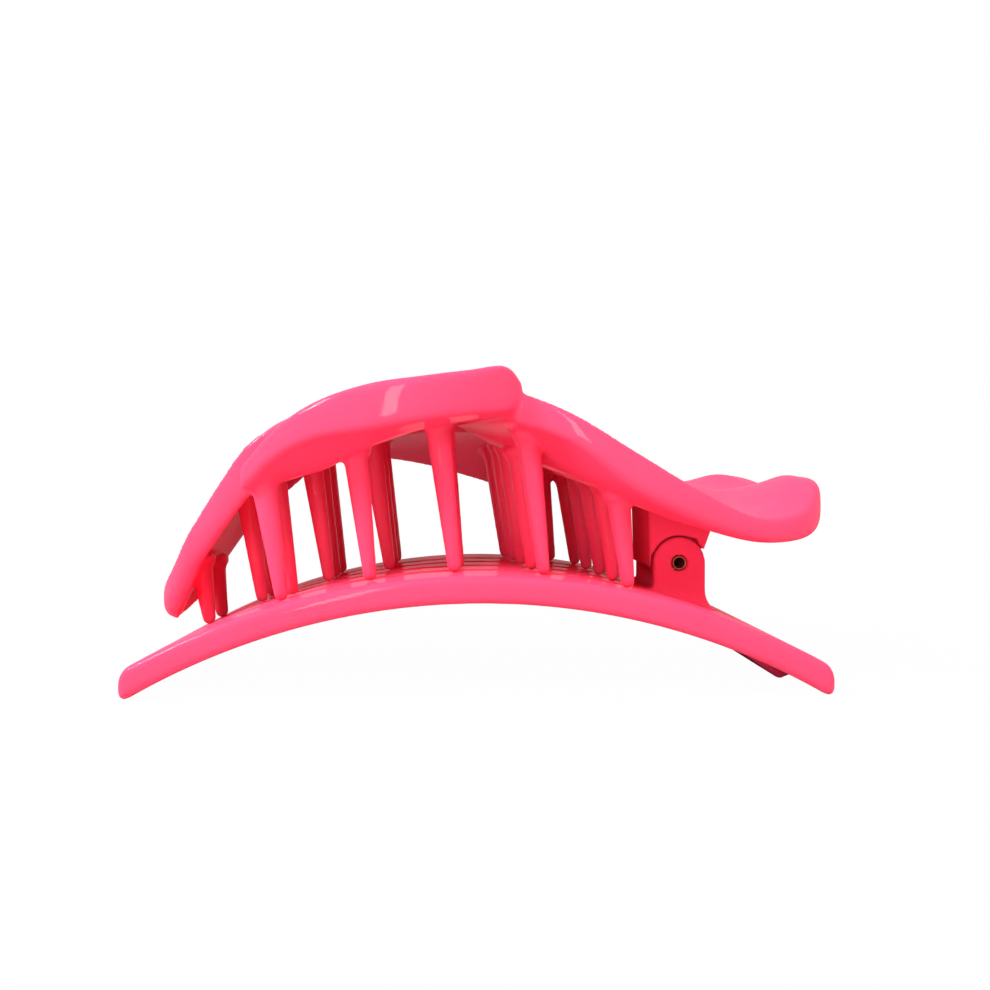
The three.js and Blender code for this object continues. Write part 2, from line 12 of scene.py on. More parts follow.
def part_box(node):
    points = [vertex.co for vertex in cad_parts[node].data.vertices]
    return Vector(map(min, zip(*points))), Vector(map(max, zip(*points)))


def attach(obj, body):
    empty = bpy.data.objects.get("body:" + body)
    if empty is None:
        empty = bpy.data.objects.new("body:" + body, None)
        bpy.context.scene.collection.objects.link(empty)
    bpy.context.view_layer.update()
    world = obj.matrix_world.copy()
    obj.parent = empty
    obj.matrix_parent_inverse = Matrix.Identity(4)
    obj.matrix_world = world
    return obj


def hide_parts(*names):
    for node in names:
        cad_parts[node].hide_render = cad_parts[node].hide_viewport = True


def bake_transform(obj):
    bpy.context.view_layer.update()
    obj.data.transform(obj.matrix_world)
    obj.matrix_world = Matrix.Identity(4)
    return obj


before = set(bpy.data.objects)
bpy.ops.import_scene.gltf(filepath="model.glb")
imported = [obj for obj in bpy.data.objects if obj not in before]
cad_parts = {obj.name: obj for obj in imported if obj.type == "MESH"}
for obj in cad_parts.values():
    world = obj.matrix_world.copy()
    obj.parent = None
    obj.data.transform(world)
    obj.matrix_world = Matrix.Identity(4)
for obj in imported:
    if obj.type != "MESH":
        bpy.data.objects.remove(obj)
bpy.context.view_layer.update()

MM = 0.001

# The place of the clip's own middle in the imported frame
jaw_low, jaw_high = (Vector(corner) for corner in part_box("lower_jaw"))
SHIFT = Vector(((jaw_low.x + jaw_high.x) / 2, (jaw_low.y + jaw_high.y) / 2, 0))

# Lower jaw
HALF_LENGTH = 54.1 * MM
HALF_WIDTH = 23.4 * MM
JAW_THICKNESS = 4.2 * MM
ARCH_RISE = 14.38 * MM
EDGE_ROUND = 1.1 * MM
NOSE_ROUND = 1.7 * MM
FOOT_X = HALF_LENGTH - NOSE_ROUND / 2
UNDER_RADIUS = (FOOT_X ** 2 + ARCH_RISE ** 2) / (2 * ARCH_RISE)
ARCH_RADIUS = UNDER_RADIUS + JAW_THICKNESS
ARCH_CENTRE_Z = ARCH_RISE - UNDER_RADIUS - 0.3 * MM
BAR_PITCH = 8 * MM
SLOT_WIDTH = 2.6 * MM
SLOT_FRONT = -HALF_LENGTH + 8.6 * MM
SLOT_BACK = 25.5 * MM
SLOT_COUNT = 4

# Hinge
HINGE_X = 33.4 * MM
HINGE_Z = 18.949 * MM
PIN_RADIUS = 1.15 * MM
PIN_BORE = 0.92 * MM
PIN_HALF = 8.25 * MM
PIN_BEAD = 0.12 * MM
PIN_SIDES = 48
SHARP_ANGLE = math.radians(30)
EAR_HOLE = 1.39 * MM
EAR_RADIUS = 4.3 * MM
EAR_OUTER = 8.5 * MM
EAR_INNER = 6.2 * MM
EAR_FLARE = 3 * MM
ROOT_BURY = 1.6 * MM
HINGE_ROOM = 0.25 * MM

# Hinge block, from the hinge's axis: along the clip, up and down, and half widths across it
BLOCK_FRONT, BLOCK_BACK, BLOCK_HEEL = 5.3 * MM, 5.6 * MM, 3.9 * MM
BLOCK_FLOOR, BLOCK_BURY, BLOCK_HALF = 1.4 * MM, 2.2 * MM, 8.3 * MM
BACK_SLOPE = 0.608
SHIELD_DROP = 0.8 * MM
SHIELD_STEPS = (0.4 * MM, 1.6 * MM, 3.2 * MM)
LUG_RADIUS, LUG_HALF = 3.6 * MM, 5.9 * MM
SIDE_RISE, NOTCH_RISE, NOTCH_REACH = 1.9 * MM, 4.2 * MM, 3.1 * MM
POCKET_HALF, COIL_ROOM, LEG_ROOM, LEG_DEPTH = 3.6 * MM, 0.6 * MM, 0.3 * MM, 4.6 * MM
OVER = MM

# Thumb ramp
RAMP_START, RAMP_TIP, RAMP_BACK = 41.8 * MM, 49.1 * MM, 50.9 * MM
RAMP_LOW, RAMP_BURY, RAMP_HALF = 0.35 * MM, 1.4 * MM, 12 * MM

# Upper jaw
HALF_BLOSSOM = 28 * MM
CLIP_HEIGHT = 49.95 * MM
CENTRE_X = -4 * MM
CENTRE_UNDERSIDE = 42.35 * MM
PLATE = 3.1 * MM
HUB_RADIUS = 2.4 * MM
HUB_SINK = 0.5 * MM

# Petal rims, anticlockwise seen from above: x as a share of half the length, y as a share of half the
# blossom's width, underside, top and depth of the dish inside the rim as shares of the height
PETALS = {
    "front": (4.4, [
        (-0.665, 0.714, 0.644, 0.744, 0), (-0.804, 0.661, 0.534, 0.656, 0), (-0.865, 0.582, 0.435, 0.576, 0),
        (-0.928, 0.464, 0.327, 0.467, 0), (-0.972, 0.314, 0.239, 0.379, 0), (-0.993, 0.161, 0.205, 0.325, 0),
        (-0.998, 0, 0.193, 0.295, 0), (-0.976, -0.164, 0.199, 0.327, 0), (-0.926, -0.293, 0.279, 0.403, 0),
        (-0.88, -0.375, 0.367, 0.487, 0), (-0.833, -0.429, 0.429, 0.56, 0), (-0.767, -0.507, 0.512, 0.656, 0),
        (-0.686, -0.579, 0.604, 0.766, 0), (-0.61, -0.607, 0.648, 0.822, 0), (-0.527, -0.625, 0.68, 0.852, 0)]),
    "near": (1.9, [
        (-0.688, -0.657, 0.612, 0.696, 0.056), (-0.582, -0.8, 0.708, 0.806, 0.12),
        (-0.462, -0.911, 0.768, 0.884, 0.104), (-0.314, -0.982, 0.794, 0.934, 0.058),
        (-0.157, -1, 0.824, 0.958, 0.028), (-0.028, -0.95, 0.844, 0.978, 0.018),
        (0.074, -0.843, 0.856, 0.996, 0.01), (0.124, -0.736, 0.874, 0.95, 0.006)]),
    "near_lever": (0.9, [
        (0.083, -0.75, 0.834, 0.938, 0), (0.259, -0.857, 0.768, 0.858, 0.006),
        (0.444, -0.893, 0.626, 0.738, 0.01), (0.628, -0.875, 0.528, 0.622, 0.016),
        (0.795, -0.814, 0.469, 0.546, 0.024), (0.935, -0.7, 0.467, 0.568, 0.036),
        (1.006, -0.536, 0.497, 0.648, 0.044), (1.013, -0.371, 0.532, 0.668, 0.05),
        (0.985, -0.2, 0.548, 0.648, 0.056), (0.902, -0.043, 0.536, 0.624, 0.052),
        (0.813, 0.054, 0.532, 0.6, 0.048)]),
    "far_lever": (0.9, [
        (0.832, -0.054, 0.497, 0.568, 0.02), (0.933, 0.143, 0.487, 0.574, 0.03),
        (1.006, 0.314, 0.499, 0.604, 0.04), (1.015, 0.5, 0.536, 0.648, 0.044),
        (0.935, 0.679, 0.56, 0.678, 0.044), (0.824, 0.786, 0.556, 0.648, 0.036),
        (0.628, 0.868, 0.568, 0.636, 0.024), (0.444, 0.893, 0.648, 0.74, 0.012),
        (0.259, 0.857, 0.758, 0.868, 0.004), (0.102, 0.743, 0.818, 0.938, 0)]),
    "far": (2.4, [
        (0.277, 0.804, 0.6, 0.698, 0), (0.148, 0.875, 0.62, 0.738, 0), (-0.018, 0.946, 0.672, 0.808, 0),
        (-0.203, 1, 0.724, 0.872, 0), (-0.407, 0.964, 0.752, 0.896, 0), (-0.573, 0.804, 0.728, 0.86, 0),
        (-0.675, 0.571, 0.668, 0.804, 0)]),
}
# Round the rim: share of the way out, and share of the rim's own height
RIM_SHARES = [(0.984, 0.04), (1, 0.22), (1, 0.76), (0.986, 0.95), (0.955, 1), (0.92, 0.97)]
ROUND_RIM_SHARES = [(0.965, 0.01), (0.986, 0.08), (1, 0.32), (1, 0.76), (0.986, 0.95), (0.955, 1), (0.92, 0.97)]
ROUND_RIM_START = (0.944, 0.12)
# Points of a section under and on top, as shares of the way out, and where the dish's rim, the rim's own
# thickness and the rounding of a petal's ends begin and are complete
UNDERSIDE_SHARES = [0.2, 0.4, 0.58, 0.74, 0.85, 0.95]
TOP_SHARES = [0.85, 0.74, 0.58, 0.4, 0.2]
DISH_RIM = (0.76, 0.95)
TOP_RIM = (0.78, 0.92)
END_REACH = (0.3, 0.9)
OUTER_HALF = 0.5
MOST_DRAWN_IN = 0.8
SECTIONS = 90
SECTION_STEPS = 5
# How far each end of a petal's rim is rounded, from below and from above, at its start and at its end
END_ROUNDS = {"near": ((0.8 * MM, 0.2 * MM), (0.2 * MM, 0.8 * MM))}
PLAIN_ENDS = ((1.5 * MM, 1.5 * MM), (1.5 * MM, 1.5 * MM))

# Teeth: tip's place along the clip and its bar, in millimetres and bars from the middle
FRONT_LEAN = math.radians(8.5)
BACK_LEAN = math.radians(6.6)
FRONT_TIPS = [
    (-46.5, 0), (-46.45, 1), (-37.4, 0), (-37.4, 1), (-30.9, -2), (-30.7, -1), (-25.9, 0), (-25.9, 1),
    (-25.9, 2), (-15.4, 0), (-15.4, 1), (-15.4, 2)]
BACK_TIPS = [
    (-17.1, -2), (-3.9, -2), (-3.4, -1), (10.1, -2), (8.8, -1), (7.5, 0), (6.5, 1), (5.4, 2), (14, 2),
    (23.5, -2), (22.4, -1), (21.3, 0), (20, 1), (18.8, 2)]
TIP_RADIUS = 1.02 * MM
ROOT_RADIUS = 2.05 * MM
FLARE_RADIUS = 0.6 * MM
FLARE_LENGTH = 1.5 * MM
FLARE_SHARE = 0.22
FLARE_POWER = 2.4
TOOTH_BURY = 1.3 * MM
TIP_SINK = 0.12 * MM
LEAST_DOME = 0.0004

# Spring wire
WIRE_RADIUS = 0.45 * MM
COIL_RADIUS = 2.2 * MM
COIL_PITCH = 1.5 * MM
COIL_TURNS = 3
UPPER_LEG = 4.4 * MM
LEG_FALL = math.radians(38)
LEG_GAP = 0.45 * MM

# Steps along curves
CORNER_STEPS, NOSE_STEPS, ARCH_STEPS = 6, 8, 120
SLOT_END_STEPS, SLOT_STEPS = 6, 60
FLARE_STEPS, EAR_STEPS, DISC_STEPS, HUB_STEPS = 12, 40, 64, 32
COIL_STEPS, LEG_STEPS, LEG_TRIES = 200, 12, 40
TOOTH_SIDES, TOOTH_STEPS = 20, 60
WIRE_SIDES, WIRE_STEPS = 14, 320

# Skins
VOXEL = 0.38 * MM
SMOOTHING, SMOOTHING_ROUNDS = 0.5, 3
MOST_TRIANGLES = 190000
NEARLY_ONE = 0.002 * MM

# Colours
PINK = (0.94, 0.055, 0.133, 1)
PINK_DEEP = (0.925, 0.042, 0.108, 1)
BRASS = (0.87, 0.62, 0.3, 1)
# Painted shade: the dark red of the tube's bore, standing in for the shade inside the hole; it is also the deep
# tone of the brass's flow marks
BORE_PAINTED_SHADE = (0.16, 0.012, 0.015, 1)
STEEL = (0.72, 0.73, 0.75, 1)
STEEL_DEEP = (0.45, 0.46, 0.48, 1)

# Moulded gloss: how much the flow marks and the grain change tone, roughness and height
FLOW_TONE = 0.35
FLOW_ROUGHNESS, GRAIN_ROUGHNESS = 0.06, 0.05
FLOW_HEIGHT, GRAIN_HEIGHT = 0.5, 0.02

# Pink plastic: the polish grows outwards from the hinge, and the coat thins at a glancing angle
SATIN_ROUGHNESS, POLISHED_ROUGHNESS = 0.5, 0.3
LOWER_SATIN, UPPER_SATIN = (6.6 * MM, 8.4 * MM), (11 * MM, 13 * MM)
BLOCK_SATIN = (EAR_OUTER, EAR_OUTER + 0.8 * MM)
GLANCE, COAT_WEIGHTS = (0.7, 0.93), (0.28, 0.16)
PARTING_DEPTH = 0.6 * JAW_THICKNESS
PARTING_WIDTH, PARTING_HEIGHT = 0.16 * MM, 0.5
MOULDED_RELIEF, METAL_RELIEF = 0.02 * MM, 0.01 * MM
BORE_EDGE = (PIN_BORE, PIN_BORE + 0.1 * MM)

# Stage: from near the clip to further off, how the floor fades into the white background
FLOOR_HALF, FLOOR_Z = 3.0, -0.0002
FLOOR_GREY = (0.5, 0.5, 0.5, 1)
SEEN_FADE, SEEN_LEAST = (0.06, 0.2), 0.985
MIRRORED_FADE, MIRRORED_LEAST = (0.07, 0.3), 0.0
WORLD_LIGHT, WHITE = 0.15, 1.0
MIDDLE = (0, 0, 0.03)

# Lamps: place, target, size, power in watts, and whether gloss mirrors the lamp
LAMPS = {
    "key": ((-0.08, -0.34, 0.44), MIDDLE, (0.3, 0.2), 2.55, False),
    "top": ((0.05, 0.12, 0.5), MIDDLE, (0.3, 0.3), 0.6, False),
    "left": ((-0.38, -0.16, 0.3), MIDDLE, (0.09, 0.16), 2.6, True),
    "right": ((0.35, -0.3, 0.3), MIDDLE, (0.2, 0.2), 1.2, False),
    "front": ((0, -0.5, 0.1), (0, 0, 0.02), (0.5, 0.25), 0.2, False),
    "strip": ((-0.1, -0.42, 0.1), (0, 0, 0.035), (0.045, 0.3), 0.5, True),
}

# Camera: a sensor 36 mm wide, and a focal length of 920 pixels in a frame of 990
SENSOR = 36
FOCAL_SHARE = 920 / 990
CLOSEST = 0.005
CAMERA_PLACE = (-0.00235, -0.16055, 0.03196)
CAMERA_TURN = (math.pi / 2 - 0.011, 0, -0.029)


def smoothstep(x, low, high):
    t = np.clip((x - low) / (high - low), 0, 1)
    return t * t * (3 - 2 * t)


def curve_at(points, t):
    """The place on a smooth curve through points, at a share t of the way along."""
    points = np.asarray(points, float)
    spot = t * (len(points) - 1)
    i = min(int(spot), len(points) - 2)
    w = spot - i
    before = points[i - 1] if i > 0 else 2 * points[0] - points[1]
    after = points[i + 2] if i + 2 < len(points) else 2 * points[-1] - points[-2]
    a, b = points[i], points[i + 1]
    va, vb = (b - before) / 2, (after - a) / 2
    return (2 * a - 2 * b + va + vb) * w ** 3 + (3 * b - 3 * a - 2 * va - vb) * w ** 2 + va * w + a


def in_scene(name, data):
    obj = bpy.data.objects.new(name, data)
    bpy.context.scene.collection.objects.link(obj)
    return obj


def mesh_object(name, vertices, faces):
    mesh = bpy.data.meshes.new(name)
    mesh.from_pydata([tuple(v) for v in vertices], [], faces)
    mesh.validate()
    obj = in_scene(name, mesh)
    outwards(obj)
    return obj


def outwards(obj):
    """Merges doubles and turns every face outwards."""
    bm = bmesh.new()
    bm.from_mesh(obj.data)
    bmesh.ops.remove_doubles(bm, verts=bm.verts, dist=NEARLY_ONE)
    bmesh.ops.recalc_face_normals(bm, faces=bm.faces)
    if bm.calc_volume(signed=True) < 0:
        bmesh.ops.reverse_faces(bm, faces=bm.faces)
    bm.to_mesh(obj.data)
    bm.free()


def settled(obj, name):
    """The object's evaluated shape as a plain mesh object, which takes its place."""
    depsgraph = bpy.context.evaluated_depsgraph_get()
    mesh = bpy.data.meshes.new_from_object(obj.evaluated_get(depsgraph), depsgraph=depsgraph)
    plain = in_scene(name, mesh)
    bpy.data.objects.remove(obj, do_unlink=True)
    return plain


def arch_z(x, depth=0.0):
    """The height of the lower jaw's arch, on top or some depth into the plate."""
    return ARCH_CENTRE_Z + math.sqrt((ARCH_RADIUS - depth) ** 2 - x * x)


# Petals

def underside(fall, low, dish, out):
    """The height under a petal, at a share out of the way from the blossom's centre to its rim."""
    part = np.minimum(out / UNDERSIDE_SHARES[-1], 1)
    return CENTRE_UNDERSIDE - (CENTRE_UNDERSIDE - low + dish) * part ** fall + dish * smoothstep(out, *DISH_RIM)


def top_side(fall, low, high, dish, reach, out):
    """The height on top of a petal: a plate of even thickness that runs into the rim's own thickness."""
    drop = (CENTRE_UNDERSIDE - low + dish) / (reach * UNDERSIDE_SHARES[-1])
    slope = fall * drop * (out / UNDERSIDE_SHARES[-1]) ** (fall - 1)
    blend = smoothstep(out, *TOP_RIM)
    return underside(fall, low, dish, out) + PLATE * np.hypot(1, slope) * (1 - blend) + (high - low) * blend


def petal_section(fall, low, high, dish, reach, rim_shares):
    """A petal's outline from its centre: out along the underside, round the rim and back on top."""
    rim = high - low
    points = [(0, CENTRE_UNDERSIDE)]
    points += [(out, underside(fall, low, dish, out)) for out in UNDERSIDE_SHARES]
    if rim_shares is ROUND_RIM_SHARES:
        points[-1] = (ROUND_RIM_START[0], low + ROUND_RIM_START[1] * rim)
    points += [(out, underside(fall, low, dish, out) + up * rim) for out, up in rim_shares]
    points += [(out, top_side(fall, low, high, dish, reach, out)) for out in TOP_SHARES]
    points += [(0, CENTRE_UNDERSIDE + PLATE)]
    count = (len(points) - 1) * SECTION_STEPS
    return np.array([curve_at(points, k / count) for k in range(count + 1)])


def drawn_in(section, reach, insets):
    """The section's rim, drawn in towards its own middle near a petal's end, from below and from above."""
    if max(insets) <= 0:
        return section
    outer = section[:, 0] > OUTER_HALF
    middle = section[outer, 1].mean()
    half = (section[outer, 1].max() - section[outer, 1].min()) / 2
    share = smoothstep(section[:, 0], *END_REACH)
    height = np.clip((section[:, 1] - middle) / half, -1, 1)
    inset = np.interp(height, (-1, 1), insets)
    result = section.copy()
    result[:, 1] -= share * height * np.minimum(inset, half * MOST_DRAWN_IN)
    result[:, 0] *= 1 - share * inset / reach
    return result


def quarter_round(radius, away):
    """How far a rounded end is drawn in, at a distance from it."""
    return radius - math.sqrt(radius ** 2 - max(radius - away, 0) ** 2)


def petal(name, fall, rows):
    """A fan of sections from the blossom's centre to a smooth rim through the rows."""
    scale = (HALF_LENGTH, HALF_BLOSSOM, CLIP_HEIGHT, CLIP_HEIGHT, CLIP_HEIGHT)
    rim = np.array([curve_at(np.array(rows) * scale, t) for t in np.linspace(0, 1, SECTIONS + 1)])
    rim_shares = ROUND_RIM_SHARES if name == "front" else RIM_SHARES
    steps = np.r_[0, np.cumsum(np.linalg.norm(np.diff(rim[:, :2], axis=0), axis=1))]
    vertices = []
    for (x, y, low, high, dish), from_start in zip(rim, steps):
        reach = math.hypot(x - CENTRE_X, y)
        to_end = steps[-1] - from_start
        rounds = END_ROUNDS.get(name, PLAIN_ENDS)[int(to_end < from_start)]
        insets = [quarter_round(radius, min(from_start, to_end)) for radius in rounds]
        section = petal_section(fall, low, high, max(dish, 0), reach, rim_shares)
        section = drawn_in(section, reach, insets)
        vertices += [(CENTRE_X + (x - CENTRE_X) * out, y * out, z) for out, z in section]
    count = len(section)
    starts = range(0, SECTIONS * count, count)
    faces = [(k + i, k + i + 1, k + i + count + 1, k + i + count) for k in starts for i in range(count - 1)]
    faces += [tuple(range(count)), tuple(reversed(range(SECTIONS * count, (SECTIONS + 1) * count)))]
    return mesh_object(name, vertices, faces)


# Nodes

def feed(tree, socket, value):
    """Gives a socket its value, from another socket or as it is."""
    if isinstance(value, bpy.types.NodeSocket):
        tree.links.new(value, socket)
    else:
        socket.default_value = value


def maths(tree, operation, *values, clamp=False):
    """A Math node's result, from sockets and numbers."""
    node = tree.nodes.new("ShaderNodeMath")
    node.operation = operation
    node.use_clamp = clamp
    for socket, value in zip(node.inputs, values):
        feed(tree, socket, value)
    return node.outputs[0]


def rod_tree(name, tooth_shaped):
    """A rod along each edge of a mesh: a wire, or a tooth with a domed tip, a taper and a flared root."""
    tree = bpy.data.node_groups.new(name, "GeometryNodeTree")
    face = tree.interface
    face.new_socket("Geometry", in_out="INPUT", socket_type="NodeSocketGeometry")
    sizes = {"Radius": TIP_RADIUS, "Root radius": ROOT_RADIUS, "Flare": FLARE_RADIUS,
             "Flare length": FLARE_LENGTH} if tooth_shaped else {"Radius": WIRE_RADIUS}
    for label, value in sizes.items():
        face.new_socket(label, in_out="INPUT", socket_type="NodeSocketFloat").default_value = value
    for label, count in (("Sides", TOOTH_SIDES), ("Steps", TOOTH_STEPS)):
        face.new_socket(label, in_out="INPUT", socket_type="NodeSocketInt").default_value = count
    face.new_socket("Material", in_out="INPUT", socket_type="NodeSocketMaterial")
    face.new_socket("Geometry", in_out="OUTPUT", socket_type="NodeSocketGeometry")
    new, link = tree.nodes.new, tree.links.new
    source, result = new("NodeGroupInput"), new("NodeGroupOutput")
    line, even = new("GeometryNodeMeshToCurve"), new("GeometryNodeResampleCurve")
    link(source.outputs["Geometry"], line.inputs["Mesh"])
    link(line.outputs["Curve"], even.inputs["Curve"])
    link(source.outputs["Steps"], even.inputs["Count"])
    ring, sweep = new("GeometryNodeCurvePrimitiveCircle"), new("GeometryNodeCurveToMesh")
    link(source.outputs["Sides"], ring.inputs["Resolution"])
    link(even.outputs["Curve"], sweep.inputs["Curve"])
    link(ring.outputs["Curve"], sweep.inputs["Profile Curve"])
    sweep.inputs["Fill Caps"].default_value = True
    if tooth_shaped:
        ring.inputs["Radius"].default_value = 1
        link(tooth_radius(tree, source), sweep.inputs["Scale"])
    else:
        link(source.outputs["Radius"], ring.inputs["Radius"])
    solid, paint = new("GeometryNodeRealizeInstances"), new("GeometryNodeSetMaterial")
    link(sweep.outputs["Mesh"], solid.inputs["Geometry"])
    link(solid.outputs["Geometry"], paint.inputs["Geometry"])
    link(source.outputs["Material"], paint.inputs["Material"])
    link(paint.outputs["Geometry"], result.inputs["Geometry"])
    return tree


def tooth_radius(tree, source):
    """The radius along a tooth that starts at its tip and ends a little inside the jaw."""
    run = tree.nodes.new("GeometryNodeSplineParameter").outputs["Length"]
    length = tree.nodes.new("GeometryNodeSplineLength").outputs["Length"]
    tip, root, flare, flare_length = (
        source.outputs[label] for label in ("Radius", "Root radius", "Flare", "Flare length"))
    inside = maths(tree, "SUBTRACT", 1, maths(tree, "DIVIDE", run, tip, clamp=True))
    inner = maths(tree, "MULTIPLY", inside, inside)
    dome = maths(tree, "SQRT", maths(tree, "SUBTRACT", 1 + LEAST_DOME, inner))
    part = maths(tree, "DIVIDE", run, length)
    widening = maths(tree, "MULTIPLY", maths(tree, "SUBTRACT", root, tip), part)
    taper = maths(tree, "ADD", tip, widening)
    free = maths(tree, "SUBTRACT", length, TOOTH_BURY)
    reach = maths(tree, "MINIMUM", flare_length, maths(tree, "MULTIPLY", free, FLARE_SHARE))
    below = maths(tree, "MAXIMUM", maths(tree, "SUBTRACT", free, run), 0)
    near = maths(tree, "SUBTRACT", 1, maths(tree, "DIVIDE", below, reach, clamp=True))
    width = maths(tree, "MULTIPLY", flare, maths(tree, "DIVIDE", reach, flare_length))
    fillet = maths(tree, "MULTIPLY", width, maths(tree, "POWER", near, FLARE_POWER))
    return maths(tree, "ADD", maths(tree, "MULTIPLY", taper, dome), fillet)


def with_tree(obj, tree, **values):
    """The object with a tree on it; values go to the tree's inputs by their sockets' identifiers."""
    modifier = obj.modifiers.new(tree.name, "NODES")
    modifier.node_group = tree
    for item in tree.interface.items_tree:
        label = item.name.replace(" ", "_")
        if item.item_type == "SOCKET" and item.in_out == "INPUT" and label in values:
            modifier[item.identifier] = values[label]
    return obj


def edges_object(name, lines):
    """Lines of points as the edges of one mesh."""
    vertices, edges = [], []
    for line in lines:
        start = len(vertices)
        vertices += [tuple(p) for p in line]
        edges += [(start + i, start + i + 1) for i in range(len(line) - 1)]
    mesh = bpy.data.meshes.new(name)
    mesh.from_pydata(vertices, edges, [])
    return in_scene(name, mesh)


def skins(objects):
    """Trees that find where a ray meets each object."""
    trees = []
    for obj in objects:
        bm = bmesh.new()
        bm.from_mesh(obj.data)
        trees.append(BVHTree.FromBMesh(bm))
        bm.free()
    return trees


def nearest(trees, start, way):
    """How far a ray runs to the nearest skin."""
    hits = [tree.ray_cast(start, way) for tree in trees]
    return min(hit[3] for hit in hits if hit[3] is not None)


def tooth_lines(blades):
    """Each tooth from its tip to a little inside the jaw over it."""
    trees = skins(blades)
    lines = []
    for tips, lean in ((FRONT_TIPS, FRONT_LEAN), (BACK_TIPS, BACK_LEAN)):
        up = Vector((-math.sin(lean), 0, math.cos(lean)))
        for x, bar in tips:
            tip = Vector((x * MM, bar * BAR_PITCH, 0))
            tip.z = arch_z(tip.x) - TIP_SINK
            lines.append([tip, tip + up * (nearest(trees, tip, up) + TOOTH_BURY)])
    return lines


# Plain solids and their joins

def prism(name, outline, from_y, to_y):
    """A solid with its outline in X and Z and its length along Y."""
    n = len(outline)
    vertices = [(x, from_y, z) for x, z in outline] + [(x, to_y, z) for x, z in outline]
    faces = [tuple(range(n)), tuple(reversed(range(n, 2 * n)))]
    faces += [(i, i + n, (i + 1) % n + n, (i + 1) % n) for i in range(n)]
    return mesh_object(name, vertices, faces)


def disc(radius, x=HINGE_X, z=HINGE_Z, count=DISC_STEPS):
    return [(x + radius * math.cos(a), z + radius * math.sin(a))
            for a in np.linspace(0, 2 * math.pi, count, endpoint=False)]


def loft(name, rings):
    """A solid through rings of points, closed at both ends."""
    count = len(rings[0])
    vertices = [point for ring in rings for point in ring]
    starts = range(0, (len(rings) - 1) * count, count)
    faces = [(k + i, k + (i + 1) % count, k + (i + 1) % count + count, k + i + count)
             for k in starts for i in range(count)]
    faces += [tuple(range(count)), tuple(range(len(vertices) - count, len(vertices)))]
    return mesh_object(name, vertices, faces)


def cut(obj, cutters, operation="DIFFERENCE"):
    """The object with the cutters taken from it, or joined to it."""
    for cutter in cutters:
        modifier = obj.modifiers.new("cut", "BOOLEAN")
        modifier.operation = operation
        modifier.solver = "EXACT"
        modifier.object = cutter
    result = settled(obj, obj.name)
    for cutter in cutters:
        bpy.data.objects.remove(cutter, do_unlink=True)
    return result


def joined(name, parts):
    """The parts' meshes in one object, not yet fused."""
    bm = bmesh.new()
    for part in parts:
        bm.from_mesh(part.data)
        bpy.data.objects.remove(part, do_unlink=True)
    mesh = bpy.data.meshes.new(name)
    bm.to_mesh(mesh)
    bm.free()
    return in_scene(name, mesh)


def fused(name, parts):
    """The parts as one skin, with the fillets that a moulding has where they meet."""
    obj = joined(name + "_parts", parts)
    remesh = obj.modifiers.new("skin", "REMESH")
    remesh.mode = "VOXEL"
    remesh.voxel_size = VOXEL
    remesh.adaptivity = 0
    smooth = obj.modifiers.new("smooth", "SMOOTH")
    smooth.factor = SMOOTHING
    smooth.iterations = SMOOTHING_ROUNDS
    plain = settled(obj, name)
    triangles = sum(len(polygon.vertices) - 2 for polygon in plain.data.polygons)
    if triangles > MOST_TRIANGLES:
        thin = plain.modifiers.new("thin", "DECIMATE")
        thin.ratio = MOST_TRIANGLES / triangles
        plain = settled(plain, name)
    plain.data.shade_smooth()
    return plain


def placed(obj):
    """Moves a mesh from the clip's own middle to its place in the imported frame."""
    obj.data.transform(Matrix.Translation(SHIFT))
    return obj


# Upper jaw

def hinge_block(blades):
    """The block under the upper jaw: a shield wall, lugs, and room for the ears, the coil and its legs."""
    trees = skins(blades)

    def roof(x):
        return nearest(trees, Vector((x, 0, 0)), Vector((0, 0, 1))) + BLOCK_BURY

    front, back = HINGE_X - BLOCK_FRONT, HINGE_X + BLOCK_BACK
    floor, shield = HINGE_Z + BLOCK_FLOOR, HINGE_Z - SHIELD_DROP
    lip, wall, foot = (front + step for step in SHIELD_STEPS)
    outline = [
        (front, roof(front)), (lip, shield), (wall, shield), (foot, floor), (HINGE_X + BLOCK_HEEL, floor),
        (back, floor + BACK_SLOPE * (roof(back) - floor)), (back, roof(back)),
        ((front + back) / 2, roof((front + back) / 2))]
    block = prism("block", outline, -BLOCK_HALF, BLOCK_HALF)
    block = cut(block, [prism("lugs", disc(LUG_RADIUS), -LUG_HALF, LUG_HALF)], "UNION")
    cutters = []
    for side in (-1, 1):
        from_y, to_y = sorted((side * LUG_HALF, side * (BLOCK_HALF + OVER)))
        room = EAR_RADIUS + HINGE_ROOM
        low, high, gap = HINGE_Z - room, HINGE_Z + SIDE_RISE, HINGE_Z + NOTCH_RISE
        side_room = [(HINGE_X - room, low), (back + OVER, low), (back + OVER, high), (HINGE_X - room, high)]
        notch = [(HINGE_X, HINGE_Z), (HINGE_X + NOTCH_REACH, high), (HINGE_X + NOTCH_REACH, gap),
                 (HINGE_X + NOTCH_REACH / 2, gap)]
        for label, shape in (("relief", disc(room)), ("side_room", side_room), ("notch", notch)):
            cutters.append(prism(label, shape, from_y, to_y))
    pocket = disc(COIL_RADIUS + WIRE_RADIUS + COIL_ROOM)
    cutters.append(prism("pocket", pocket, -POCKET_HALF, POCKET_HALF))
    top, low = HINGE_Z + COIL_RADIUS + WIRE_RADIUS + LEG_ROOM, HINGE_Z - LEG_DEPTH
    legs = [(HINGE_X, low), (back + OVER, low), (back + OVER, top), (HINGE_X, top)]
    cutters.append(prism("legs", legs, -POCKET_HALF, POCKET_HALF))
    cutters.append(prism("bore", disc(PIN_RADIUS + HINGE_ROOM), -LUG_HALF - OVER, LUG_HALF + OVER))
    return cut(block, cutters)


